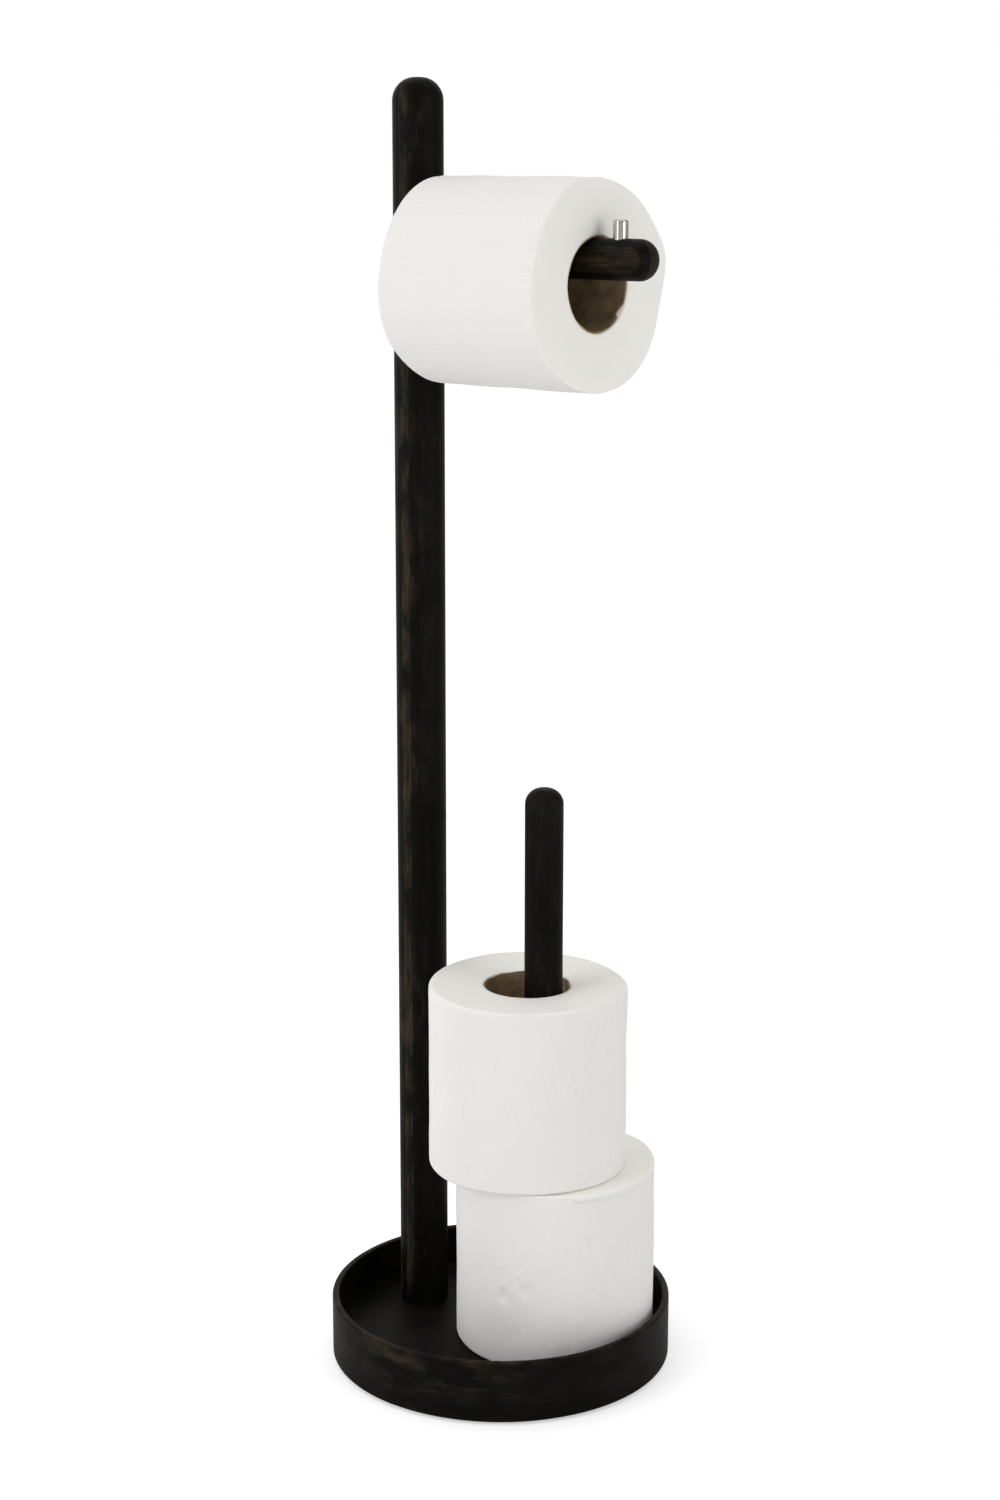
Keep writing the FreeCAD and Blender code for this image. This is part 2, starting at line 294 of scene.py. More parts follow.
def emboss_field(angle, height, form, radius):
    """Phase of the embossed lines, its slope and a mask. A line lies wherever the phase is a whole number.

    The phase is flow * angle / turn plus slow random waves of amplitude swirl, so its level lines run along
    the roll, part, close up and curl. The slope, in lines a metre, turns a phase into a distance. The mask is
    a slow random patchwork in which the lines fade.
    """
    phase = form["flow"] * angle / FULL_TURN
    phase = phase + form["swirl"] * ripple(angle, height, form["seed"] + 50, 7, (0, 4), (0.07, 0.22))
    phase = phase + 0.16 * form["swirl"] * ripple(angle, height, form["seed"] + 51, 5, (3, 8), (0.03, 0.07))
    around = np.gradient(phase, angle[:, 0], axis=0) / radius
    step = np.gradient(height, axis=1)
    along = np.gradient(phase, axis=1) / np.where(np.abs(step) < 1e-6, 1.0, step)
    slope = np.maximum(np.hypot(around, along), 90.0)
    mask = smoothstep(-0.8, 0.8, ripple(angle, height, form["seed"] + 52, 6, (1, 5), (0.05, 0.12)))
    return phase, slope, mask


def wrinkle_relief(angle, height, form):
    """Folds near the roll's first end, and dents in a few patches, both as deep as the form's crumple.

    The folds are short slanting waves where a slow patchwork lets them show, and fade out above fold_top. The
    dents are only the hollows of a ripple, where another patchwork shows them.
    """
    seed = form["seed"]
    fold_low, fold_top, slant = 6 * MM, 32 * MM, 9.0
    folds = ripple(angle + slant * height, height, seed + 2, 8, (20, 60), (0.006, 0.03))
    folds = folds * smoothstep(fold_top, fold_low, height)
    folds = folds * smoothstep(0.2, 1.2, ripple(angle, height, seed + 3, 4, (1, 4), (0.05, 0.2)))
    dents = np.minimum(ripple(angle, height, seed + 4, 10, (8, 26), (0.008, 0.04)), 0.0)
    dents = dents * smoothstep(0.5, 1.5, ripple(angle, height, seed + 5, 4, (1, 3), (0.04, 0.1)))
    return form["crumple"] * (folds + dents)


def lip_relief(past_tail, height, form, width):
    """Crushed edge of the last sheet: a ridge near the far end, from the tail to fade_end radians past it.

    The ridge's foot drops by slope for each radian, so it widens as it fades. It also fades over the last
    millimetre of the roll.
    """
    foot, soft, slope = 3.6 * MM, 0.7 * MM, 0.9 * MM
    fade_start, fade_end = 0.5, 1.35
    band = smoothstep(width - foot, width - foot + soft, height + slope * past_tail)
    band = band * smoothstep(fade_end, fade_start, past_tail)
    return form["lip"] * band * smoothstep(width + 0.2 * MM, width - 1.0 * MM, height)


def end_relief(angle, rho, depth, bore, seed):
    """Unevenness of the end faces: faint rings ring_pitch apart, and a slow waviness.

    depth is 0 at the bore and 1 at the outside, and the relief fades out at both.
    """
    ring_pitch, ring_depth, wave_depth = 2.6 * MM, 0.04 * MM, 0.14 * MM
    drift = 2.0 * ripple(angle, rho, seed + 6, 3, (1, 3), (0.02, 0.05))
    ring = np.sin(FULL_TURN * (rho - bore) / ring_pitch + drift)
    relief = ring_depth * ring + wave_depth * ripple(angle, rho, seed + 7, 7, (1, 6), (0.012, 0.04))
    return relief * smoothstep(0.0, 0.12, depth) * smoothstep(1.0, 0.9, depth)


def wound_roll(name, form, paper, bore, radius, width):
    """Closed surface of one wound roll, standing on its own z = 0, with its axis on Z.

    The outline is carried round the axis. Its radius is a spiral that steps by one sheet at the tail, plus
    the form's bulges, slack ripples, the embossed lines, wrinkles and the lip. The far end leans and is
    dished.
    """
    turns = 450
    line_spread = 2.2 * paper.emboss_width
    start = math.radians(form["tail"])
    angle = (start + np.arange(turns) * FULL_TURN / turns)[:, None]
    rho, z, across, up = (part[None, :] for part in roll_profile(bore, radius, width, form["edge"]))
    angle = np.broadcast_to(angle, (turns, rho.shape[1]))
    height = np.broadcast_to(z, angle.shape)
    past_tail = angle - start
    depth = (rho - bore) / (radius - bore)
    seed = form["seed"]

    side = -paper.sheet * past_tail / FULL_TURN
    side = side + paper.slack * ripple(angle, height, seed, 9, (2, 9), (0.03, 0.09))
    side = side + 0.25 * paper.slack * ripple(angle, height, seed + 1, 14, (9, 30), (0.008, 0.03))
    phase, slope, mask = emboss_field(angle, height, form, radius)
    distance = np.abs(phase - np.round(phase)) / slope
    side = side + paper.emboss_depth * mask * np.exp(-np.square(distance / line_spread))
    side = side + wrinkle_relief(angle, height, form) + lip_relief(past_tail, height, form, width)

    far = smoothstep(0.4 * width, width, height)
    lean = form["lean"] * (0.5 + 0.5 * np.cos(angle - math.radians(form["lean_to"]))) * depth
    z = z + up * end_relief(angle, rho, depth, bore, seed)
    z = z + far * (lean - form["dish"] * np.square(1.0 - depth))
    rho = rho + depth * bulge_sum(angle, form["bulges"])
    rho = rho + (1.0 - depth) * bulge_sum(angle, form["bore_bulges"])
    rho = rho + across * side
    points = np.stack([rho * np.cos(angle), rho * np.sin(angle), z], axis=-1)
    wave = np.stack([np.cos(FULL_TURN * phase), np.sin(FULL_TURN * phase), slope * MM], axis=-1)
    return closed_ring_mesh(name, points, {
        "roll_place": points,
        "end_share": np.broadcast_to(smoothstep(0.3, 0.9, np.abs(up)), angle.shape),
        "emboss_wave": wave,
        "emboss_mask": mask * across,
    })


def core_tube(name, form, paper, outer, length, torn):
    """Closed surface of a cardboard core, standing on z = 0, with its axis on Z.

    The outline goes up the inner wall and down the outer one, with a softly rounded lip at each end, and the
    whole grid is twisted by one turn in every lead, so that the spiral seam, a groove of the inner wall,
    follows one line of it. Both ends waver by a little, and a torn core has a bent-in flap at its far end,
    which starts sharply at the angle torn and fades.
    """
    turns, inner_steps, outer_steps = 300, 60, 12
    groove_half, sunk, mouth = 0.6 * MM, 0.18 * MM, 12 * MM
    flap_high, flap_in, flap_down = 5.5 * MM, 1.1 * MM, 0.8 * MM
    inner = outer - paper.core_wall
    half = 0.5 * paper.core_wall
    bend = np.linspace(0.0, math.pi, 6)[1:-1]
    rise = np.linspace(half, length - half, inner_steps)
    fall = np.linspace(length - half, half, outer_steps)
    rho = np.concatenate([inner + 0 * rise, inner + half - half * np.cos(bend), outer + 0 * fall,
                          outer - half + half * np.cos(bend)])
    z = np.concatenate([rise, length - half + half * np.sin(bend), fall, half - half * np.sin(bend)])
    inside = np.concatenate([np.ones(inner_steps), 0.5 + 0.5 * np.cos(bend), np.zeros(outer_steps),
                             0.5 - 0.5 * np.cos(bend)])
    shape = (turns, len(rho))
    rho, z, inside = (np.broadcast_to(part[None, :], shape) for part in (rho, z, inside))
    step = (np.arange(turns) * FULL_TURN / turns)[:, None]
    angle = step + FULL_TURN * z / paper.core_ply_lead

    from_seam = inner * np.minimum(step, FULL_TURN - step)
    seam = np.broadcast_to(np.exp(-np.square(from_seam / groove_half)), shape)
    seed = form["seed"]
    waver = 0.25 * MM * ripple(angle, 0 * z, seed + 20, 8, (2, 16), (0.01, 0.05))
    far = smoothstep(length - mouth, length, z)
    near = smoothstep(mouth, 0.0, z)
    rho = rho - inside * sunk * (1.0 - seam)
    rho = rho + 0.06 * MM * ripple(angle, z, seed + 21, 6, (2, 5), (0.05, 0.2))
    rho = rho + bulge_sum(angle, form["bore_bulges"])
    z = z + waver * (far - near) - far * form["dish"]
    if torn is not None:
        turn = np.mod(angle - torn, FULL_TURN)
        flap = smoothstep(0.0, 0.03, turn) * smoothstep(0.42, 0.08, turn)
        flap = flap * smoothstep(length - flap_high, length, z + form["dish"])
        rho = rho - flap_in * flap
        z = z - flap_down * flap
    points = np.stack([rho * np.cos(angle), rho * np.sin(angle), z], axis=-1)
    return closed_ring_mesh(name, points, {"core_place": points, "ply_seam": seam * inside})


def place_roll(piece, body, low, finish):
    """Moves a mesh made on Z to its roll, laid along +X on the arm or upright on the spindle, and finishes it.

    low is the middle of the roll's first end. Laid along the arm, local Z becomes +X and local X becomes
    +Y, so local angles run from +Y towards +Z.
    """
    coordinates = np.empty(len(piece.data.vertices) * 3, dtype=np.float32)
    piece.data.vertices.foreach_get("co", coordinates)
    coordinates = coordinates.reshape(-1, 3)
    if body == "hanging_roll":
        coordinates = coordinates[:, [2, 0, 1]]
    coordinates = coordinates + np.array(low, dtype=np.float32)
    piece.data.vertices.foreach_set("co", coordinates.ravel())
    piece.data.update()
    piece.data.materials.append(finish)


def roll_measures(node, body):
    """Middle of the first end, outer radius and length of a round CAD node, from its box."""
    low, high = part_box(node)
    middle = 0.5 * (low + high)
    if body == "hanging_roll":
        return (low.x, middle.y, middle.z), 0.5 * (high.z - low.z), high.x - low.x
    return (middle.x, middle.y, low.z), 0.5 * (high.x - low.x), high.z - low.z


# ---------------------------------------------------------------- shader tools


class NodeBoard:
    """Adds nodes to a shader tree and joins them. A value may be a number, a tuple or another socket."""

    def __init__(self, tree):
        self.tree = tree

    def join(self, socket, value):
        if isinstance(value, bpy.types.NodeSocket):
            self.tree.links.new(value, socket)
        else:
            socket.default_value = value

    def add(self, kind, inputs=None, **settings):
        node = self.tree.nodes.new(kind)
        for key, value in settings.items():
            setattr(node, key, value)
        for key, value in (inputs or {}).items():
            self.join(node.inputs[key], value)
        return node

    def math(self, operation, first, second=0.0, clamp=False):
        node = self.add("ShaderNodeMath", {0: first, 1: second}, operation=operation, use_clamp=clamp)
        return node.outputs[0]

    def plus(self, first, second, clamp=False):
        return self.math("ADD", first, second, clamp)

    def minus(self, first, second):
        return self.math("SUBTRACT", first, second)

    def times(self, first, second):
        return self.math("MULTIPLY", first, second)

    def swing(self, value, size):
        """A value of 0 to 1 moved to the middle and scaled: size * (value - 0.5)."""
        return self.times(self.minus(value, 0.5), size)

    def weigh(self, share, first, second):
        """share * first + (1 - share) * second, for a fixed share."""
        return self.plus(self.times(first, share), self.times(second, 1.0 - share))

    def remap(self, value, from_low, from_high, to_low=0.0, to_high=1.0):
        """Smooth remap of a value, clamped at both ends."""
        node = self.add("ShaderNodeMapRange", {"Value": value, "From Min": from_low, "From Max": from_high,
                                               "To Min": to_low, "To Max": to_high},
                        interpolation_type="SMOOTHSTEP")
        return node.outputs["Result"]

    def vector(self, operation, first, second):
        return self.add("ShaderNodeVectorMath", {0: first, 1: second}, operation=operation).outputs["Vector"]

    def measure(self, operation, first, second=(0.0, 0.0, 0.0)):
        """A number worked out from vectors, such as a length or a dot product."""
        return self.add("ShaderNodeVectorMath", {0: first, 1: second}, operation=operation).outputs["Value"]

    def split(self, vector):
        return self.add("ShaderNodeSeparateXYZ", {0: vector}).outputs

    def combine(self, x, y, z=0.0):
        return self.add("ShaderNodeCombineXYZ", {"X": x, "Y": y, "Z": z}).outputs[0]

    def carried(self, label, output):
        """An attribute that the mesh carries."""
        return self.add("ShaderNodeAttribute", attribute_name=label).outputs[output]

    def noise(self, place, scale, detail=3.0, roughness=0.55):
        node = self.add("ShaderNodeTexNoise", {"Vector": place, "Scale": scale, "Detail": detail,
                                               "Roughness": roughness})
        return node.outputs["Fac"]

    def blend(self, share, first, second):
        """The first colour where share is 0, and the second where it is 1."""
        node = self.add("ShaderNodeMix", data_type="RGBA")
        self.join(node.inputs["Factor"], share)
        self.join(node.inputs[6], first)
        self.join(node.inputs[7], second)
        return node.outputs[2]


def rgba(colour, share=1.0):
    """Colour with each part scaled by share, and an alpha of 1."""
    return (*(min(1.0, share * part) for part in colour), 1.0)


def new_group(name, inputs, outputs):
    """Empty shader node group, its board, and the sockets of its input and output nodes.

    inputs and outputs give the kind of each named socket.
    """
    tree = bpy.data.node_groups.new(name, "ShaderNodeTree")
    for way, sockets in (("INPUT", inputs), ("OUTPUT", outputs)):
        for label, kind in sockets.items():
            tree.interface.new_socket(label, in_out=way, socket_type="NodeSocket" + kind)
    board = NodeBoard(tree)
    return tree, board, board.add("NodeGroupInput").outputs, board.add("NodeGroupOutput").inputs


def make_bamboo_group(name):
    """Stained bamboo. The grain runs along Z of the Grain vector, and the strips lie side by side along X.

    Fibres are noise drawn out along the grain. Each strip has its own depth of stain and its own dark
    growth rings, and slow patches let the bare fibres show through.
    """
    tree, board, given, out = new_group(
        name,
        {"Grain": "Vector", "Strip Width": "Float", "Strip Contrast": "Float", "Ring Spacing": "Float",
         "Ring Depth": "Float", "Stain": "Color", "Bare": "Color", "Bare Share": "Float", "Rub": "Float"},
        {"Color": "Color", "Roughness": "Float", "Height": "Float"})
    split = board.split(given["Grain"])
    strip = board.math("FLOOR", board.math("DIVIDE", split["X"], given["Strip Width"]))
    random = board.add("ShaderNodeTexWhiteNoise", {"W": strip}, noise_dimensions="1D").outputs
    own = random["Value"]
    moved = board.vector("ADD", given["Grain"], board.vector("MULTIPLY", random["Color"], (3.0, 3.0, 3.0)))
    fibre = board.noise(board.vector("MULTIPLY", moved, (2300.0, 2300.0, 52.0)), 1.0, 4.0, 0.7)
    hair = board.noise(board.vector("MULTIPLY", moved, (4800.0, 4800.0, 170.0)), 1.0, 2.0, 0.6)
    patch = board.noise(board.vector("MULTIPLY", given["Grain"], (95.0, 95.0, 38.0)), 1.0, 4.0, 0.62)
    cloud = board.noise(given["Grain"], 24.0, 2.0, 0.5)

    wander = board.swing(patch, 0.16)
    along = board.plus(board.math("DIVIDE", split["Z"], given["Ring Spacing"]), wander)
    along = board.math("FRACT", board.plus(along, board.times(own, 7.3)))
    from_ring = board.math("ABSOLUTE", board.minus(along, 0.5))
    ring = board.times(board.remap(from_ring, 0.0, 0.085, 1.0, 0.0), given["Ring Depth"])

    streak = board.remap(fibre, 0.40, 0.70)
    strips = board.swing(own, given["Strip Contrast"])
    clouds = board.swing(cloud, 0.5)
    warm = board.remap(board.plus(patch, board.plus(strips, clouds)), 0.36, 0.74)
    # This share also carries painted sheen on the post's side that faces the key light, and on the arm.
    warm = board.times(warm, given["Bare Share"])
    show = board.times(warm, board.plus(board.times(streak, 0.8), 0.2))
    show = board.times(show, board.minus(1.0, ring))
    fleck = board.times(board.remap(hair, 0.58, 0.78), board.remap(fibre, 0.48, 0.7))
    show = board.plus(show, board.times(fleck, 0.28))
    show = board.plus(show, board.times(given["Rub"], board.remap(hair, 0.3, 0.7, 0.25, 1.0)),
                      clamp=True)
    board.join(out["Color"], board.blend(show, given["Stain"], given["Bare"]))
    rough = board.plus(0.48, board.swing(hair, 0.24))
    board.join(out["Roughness"], board.plus(rough, board.times(ring, 0.06)))
    height = board.weigh(0.65, fibre, hair)
    board.join(out["Height"], board.minus(height, board.times(ring, 0.3)))
    return tree


def make_rub_group(name):
    """Worn edge, 0 to 1: strongest at a Distance of 0, gone at Width, and broken up by noise."""
    tree, board, given, out = new_group(
        name, {"Distance": "Float", "Width": "Float", "Place": "Vector"}, {"Mask": "Float"})
    near = board.remap(board.math("DIVIDE", given["Distance"], given["Width"]), 0.0, 1.0, 1.0, 0.0)
    broken = board.remap(board.noise(given["Place"], 190.0, 4.0, 0.65), 0.45, 0.75)
    board.join(out["Mask"], board.times(near, broken))
    return tree


def make_fibre_group(name):
    """Pulp of paper and board: a fine cloudy Tone and a short-fibred Height, both about 0 to 1."""
    tree, board, given, out = new_group(
        name, {"Place": "Vector", "Scale": "Float"}, {"Tone": "Float", "Height": "Float"})
    cloud = board.noise(given["Place"], board.times(given["Scale"], 0.07), 3.0, 0.6)
    grit = board.noise(given["Place"], given["Scale"], 4.0, 0.7)
    cells = board.add("ShaderNodeTexVoronoi", {"Vector": given["Place"],
                                               "Scale": board.times(given["Scale"], 0.8)},
                      feature="SMOOTH_F1").outputs["Distance"]
    board.join(out["Tone"], board.weigh(0.6, cloud, grit))
    board.join(out["Height"], board.weigh(0.5, cells, grit))
    return tree


def make_turned_group(name):
    """Metal turned on a lathe: fine rings across the Z of the Place vector, and scattered dull spots."""
    tree, board, given, out = new_group(
        name, {"Place": "Vector", "Pitch": "Float", "Roughness": "Float"},
        {"Tone": "Float", "Roughness": "Float", "Height": "Float"})
    split = board.split(given["Place"])
    line_place = board.combine(board.times(split["X"], 60.0), board.times(split["Y"], 60.0),
                               board.math("DIVIDE", split["Z"], given["Pitch"]))
    rings = board.noise(line_place, 1.0, 3.0, 0.6)
    spots = board.noise(given["Place"], 420.0, 3.0, 0.6)
    board.join(out["Tone"], board.remap(board.weigh(0.6, rings, spots), 0.3, 0.7, 0.86, 1.0))
    varied = board.swing(rings, 0.16)
    varied = board.plus(varied, board.times(board.remap(spots, 0.5, 0.75), 0.1))
    board.join(out["Roughness"], board.plus(given["Roughness"], varied))
    board.join(out["Height"], rings)
    return tree


def new_material(name):
    """Material with a Principled shader, its board, the shader node and the Object coordinates."""
    material = bpy.data.materials.new(name)
    material.use_nodes = True
    tree = material.node_tree
    tree.nodes.clear()
    board = NodeBoard(tree)
    shader = board.add("ShaderNodeBsdfPrincipled")
    output = board.add("ShaderNodeOutputMaterial")
    tree.links.new(shader.outputs[0], output.inputs["Surface"])
    place = board.add("ShaderNodeTexCoord").outputs["Object"]
    return material, board, shader, place


def set_surface(board, shader, height, depth, inputs):
    """Feeds the shader's inputs, and a bump whose height of 0 to 1 stands for depth metres."""
    for key, value in inputs.items():
        board.join(shader.inputs[key], value)
    bump = board.add("ShaderNodeBump", {"Height": height, "Distance": depth, "Strength": 1.0})
    board.join(shader.inputs["Normal"], bump.outputs["Normal"])


def place_group(board, name, make, inputs):
    """Outputs of one use of a shared group. The group is made the first time it is asked for."""
    tree = bpy.data.node_groups.get(name) or make(name)
    return board.add("ShaderNodeGroup", inputs, node_tree=tree).outputs


def grain_upright(board, place):
    """Grain along Z, as on the post and the spindle."""
    return place


def grain_along_arm(board, place):
    """Grain along X: the frame's Y, Z, X become the grain's X, Y, Z."""
    split = board.split(place)
    return board.combine(split["Y"], split["Z"], split["X"])


def grain_across_floor(board, place):
    """Grain across the tray floor, 40 degrees off the arm: a turn about Z, then X becomes the grain's Z."""
    turn = (0.0, 0.0, math.radians(-40.0))
    turned = board.add("ShaderNodeMapping", {"Vector": place, "Rotation": turn}).outputs[0]
    split = board.split(turned)
    return board.combine(split["Y"], split["Z"], split["X"])


def grain_round_wall(board, place):
    """Grain round the bent wall: height, distance from the middle, and angle times the wall's radius.

    The angle starts at the back of the post, where the bent strip's ends meet.
    """
    split = board.split(place)
    angle = board.math("ARCTAN2", split["Y"], split["X"])
    distance = board.measure("LENGTH", board.combine(split["X"], split["Y"]))
    return board.combine(split["Z"], distance, board.times(angle, TRAY_RADIUS))


def stained_bamboo(name, stain, grain, bare_and_sheen_share, strips=0.3, rings=0.8, thin_stain_and_lit_side=None, rub_distance=None,
                   offset=(0.0, 0.0, 0.0)):
    """Stained bamboo for one piece. grain turns Object coordinates into the group's grain coordinates.

    strips and rings are the contrast of the laminated strips and of the growth rings. The side mask argument
    gives 0 to 1 and scales the bare share: on the tray's wall it marks the side where the stain is thinner,
    and on the post it is painted light, brighter on the side that faces the key light. rub_distance gives the
    distance from a worn edge.
    """
    material, board, shader, place = new_material(name)
    share = bare_and_sheen_share
    # On the post this side mask is painted light: it raises the bare share on the side that faces the key
    # light.
    if thin_stain_and_lit_side is not None:
        share = board.times(thin_stain_and_lit_side(board, place), bare_and_sheen_share)
    rub = 0.0
    if rub_distance is not None:
        rub = place_group(board, "Edge Rub", make_rub_group,
                          {"Distance": rub_distance(board, place), "Width": 1.6 * MM, "Place": place})["Mask"]
        rub = board.times(rub, 0.5)
    vector = board.vector("ADD", grain(board, place), offset)
    wood = place_group(board, "Stained Bamboo", make_bamboo_group, {
        "Grain": vector, "Strip Width": stain.strip_width, "Strip Contrast": strips,
        "Ring Spacing": stain.joint_spacing, "Ring Depth": rings, "Stain": rgba(stain.stain),
        "Bare": rgba(stain.bare), "Bare Share": share, "Rub": rub})
    set_surface(board, shader, wood["Height"], stain.fibre_depth, {
        "Base Color": wood["Color"], "Roughness": wood["Roughness"], "IOR": stain.ior})
    return material


def post_key_lit_side(board, place):
    """Painted light, 1 on the post's front-left side, which faces the key light, and falling to almost nothing
    on the opposite one.
    """
    split = board.split(place)
    x = board.times(board.minus(split["X"], POST_X), -0.8 / POST_RADIUS)
    y = board.times(split["Y"], -0.6 / POST_RADIUS)
    return board.remap(board.plus(x, y), -0.6, 0.8, 0.1, 1.0)


def wall_thin_side(board, place):
    """1 high on the front of the tray's wall, where the stain is thinnest, and at most a third elsewhere."""
    split = board.split(place)
    side = board.plus(board.times(split["X"], 0.22 / TRAY_RADIUS),
                      board.times(split["Y"], -0.97 / TRAY_RADIUS))
    high = board.remap(split["Z"], 0.2 * WALL_HIGH.z, 0.7 * WALL_HIGH.z, 0.35, 1.0)
    return board.times(board.remap(side, 0.8, 1.0, 0.34, 1.0), high)


def rim_distance(board, place):
    """How far a point lies below the tray's rim."""
    split = board.split(place)
    return board.minus(WALL_HIGH.z, split["Z"])


def turned_metal(name, colour, pitch, roughness):
    """Turned metal with rings across Z."""
    material, board, shader, place = new_material(name)
    metal = place_group(board, "Turned Metal", make_turned_group,
                        {"Place": place, "Pitch": pitch, "Roughness": roughness})
    tone = board.blend(metal["Tone"], rgba(colour, 0.7), rgba(colour))
    set_surface(board, shader, metal["Height"], 0.004 * MM, {
        "Base Color": tone, "Roughness": metal["Roughness"], "Metallic": 1.0})
    return material


def felt(name):
    """Pressed black felt."""
    material, board, shader, place = new_material(name)
    pulp = place_group(board, "Pulp Fibre", make_fibre_group, {"Place": place, "Scale": 1400.0})
    tone = board.blend(pulp["Tone"], (0.012, 0.012, 0.013, 1.0), (0.05, 0.049, 0.048, 1.0))
    set_surface(board, shader, pulp["Height"], 0.25 * MM, {
        "Base Color": tone, "Roughness": 0.95, "Sheen Weight": 0.3})
    return material


def plain_beech(name):
    """Unstained hardwood of the hidden locating pin."""
    material, board, shader, place = new_material(name)
    fibre = board.noise(board.vector("MULTIPLY", place, (1800.0, 1800.0, 60.0)), 1.0, 4.0, 0.6)
    tone = board.blend(fibre, (0.50, 0.33, 0.19, 1.0), (0.70, 0.51, 0.33, 1.0))
    set_surface(board, shader, fibre, 0.03 * MM, {"Base Color": tone, "Roughness": 0.6})
    return material


def embossed_line(board, paper):
    """Crisp embossed lines, 0 to 1, from the wave and mask that the roll's mesh carries."""
    wave = board.carried("emboss_wave", "Vector")
    mask = board.carried("emboss_mask", "Fac")
    split = board.split(wave)
    turn = board.math("ABSOLUTE", board.math("ARCTAN2", split["Y"], split["X"]))
    distance = board.math("DIVIDE", turn, board.times(split["Z"], FULL_TURN / MM))
    return board.times(board.remap(distance, 0.0, 2.0 * paper.emboss_width, 1.0, 0.0), mask)


def tissue(name, paper):
    """Soft tissue: whiter wraps with a painted highlight along the embossed lines, creamier cut ends with fine
    winding rings, and a short-fibred nap.
    """
    material, board, shader, _ = new_material(name)
    place = board.carried("roll_place", "Vector")
    end_share = board.carried("end_share", "Fac")
    dots = board.remap(board.noise(place, 1500.0, 1.0, 0.5), 0.38, 0.58, 0.5, 1.0)
    line = board.times(embossed_line(board, paper), dots)
    pulp = place_group(board, "Pulp Fibre", make_fibre_group, {"Place": place, "Scale": 1100.0})
    split = board.split(place)
    radius = board.measure("LENGTH", board.combine(split["X"], split["Y"]))
    angle = board.math("ARCTAN2", split["Y"], split["X"])
    winding = board.noise(board.combine(board.times(radius, 2600.0), board.times(angle, 1.2)), 1.0, 3.0, 0.7)
    side = board.blend(pulp["Tone"], rgba(paper.side, 0.975), rgba(paper.side))
    # Painted highlight: the embossed lines are made 5 percent whiter, where light catches the raised ridges.
    side = board.blend(line, side, rgba(paper.side, 1.05))
    end = board.blend(winding, rgba(paper.end, 0.955), rgba(paper.end))
    nap = board.times(pulp["Height"], 0.5)
    ends = board.times(board.times(winding, end_share), 0.9)
    crisp = board.times(line, 1.1)
    set_surface(board, shader, board.plus(board.plus(nap, ends), crisp), 0.11 * MM, {
        "Base Color": board.blend(end_share, side, end), "Roughness": 0.92, "Specular IOR Level": 0.2,
        "Sheen Weight": 0.15})
    return material


def kraft_board(name, paper):
    """Grey-brown core board with pale and dark flecks and a dark spiral seam."""
    material, board, shader, _ = new_material(name)
    place = board.carried("core_place", "Vector")
    seam = board.carried("ply_seam", "Fac")
    pulp = place_group(board, "Pulp Fibre", make_fibre_group, {"Place": place, "Scale": 1500.0})
    board_tone = board.blend(board.remap(pulp["Tone"], 0.36, 0.64), rgba(paper.kraft, 0.62),
                             rgba(paper.kraft, 1.28))
    tone = board.blend(board.remap(seam, 0.25, 0.9), board_tone, rgba(paper.kraft, 0.16))
    set_surface(board, shader, pulp["Height"], 0.12 * MM, {
        "Base Color": tone, "Roughness": 0.88, "Specular IOR Level": 0.25})
    return material


def backdrop_material(name, colour, lift):
    """Matt floor with the faintest unevenness, lifted to white where the camera sees it."""
    material, board, shader, place = new_material(name)
    seen = board.add("ShaderNodeLightPath").outputs["Is Camera Ray"]
    board.join(shader.inputs["Emission Strength"], board.times(seen, lift))
    shader.inputs["Emission Color"].default_value = (1.0, 1.0, 1.0, 1.0)
    cloud = board.noise(place, 3.0, 2.0, 0.5)
    board.join(shader.inputs["Base Color"], board.blend(cloud, rgba(colour, 0.99), rgba(colour)))
    shader.inputs["Roughness"].default_value = 0.9
    shader.inputs["Specular IOR Level"].default_value = 0.1
    return material


def dress(node, material):
    """Gives a CAD node one material in place of its own."""
    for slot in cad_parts[node].material_slots:
        slot.material = material


# ---------------------------------------------------------------- operators


class STAND_OT_stain_wood(bpy.types.Operator):
    """Stains the post, arm, spindle and tray"""

    bl_idname = "stand.stain_wood"
    bl_label = "Stain Wood"

    def execute(self, context):
        stain = context.scene.stand_stain
        # The post's side mask is painted light: more bare fibre colour on the side that faces the key light.
        dress("post", stained_bamboo("stained_post", stain, grain_upright, 1.05, 0.34, 0.9,
                                     thin_stain_and_lit_side=post_key_lit_side, offset=(0.0, 0.0, 0.31)))
        dress("spindle", stained_bamboo("stained_spindle", stain, grain_upright, 0.2, 0.2, 0.6,
                                        offset=(0.0, 0.1, 0.7)))
        # Partly painted sheen: the arm's bare share is higher than the spindle's and the floor's, which paints
        # in the broad sheen on the arm besides its bare fibres.
        dress("arm", stained_bamboo("stained_arm", stain, grain_along_arm, 0.65, 0.3, 0.2,
                                    offset=(0.013, 0.2, 0.1)))
        dress("tray_floor", stained_bamboo("stained_floor", stain, grain_across_floor, 0.16, 0.1, 0.2))
        dress("tray_wall", stained_bamboo("stained_wall", stain, grain_round_wall, 0.8, 0.06, 0.25,
                                          thin_stain_and_lit_side=wall_thin_side, rub_distance=rim_distance,
                                          offset=(0.0, 0.0, 0.05)))
        return {"FINISHED"}


class STAND_OT_finish_stop_pin(bpy.types.Operator):
    """Gives the stop pin its turned stainless finish"""

    bl_idname = "stand.finish_stop_pin"
    bl_label = "Finish Stop Pin"

    def execute(self, context):
        metal = context.scene.stand_metal
        dress("stop_pin", turned_metal("stainless_pin", metal.stainless, metal.turning_pitch, 0.2))
        return {"FINISHED"}


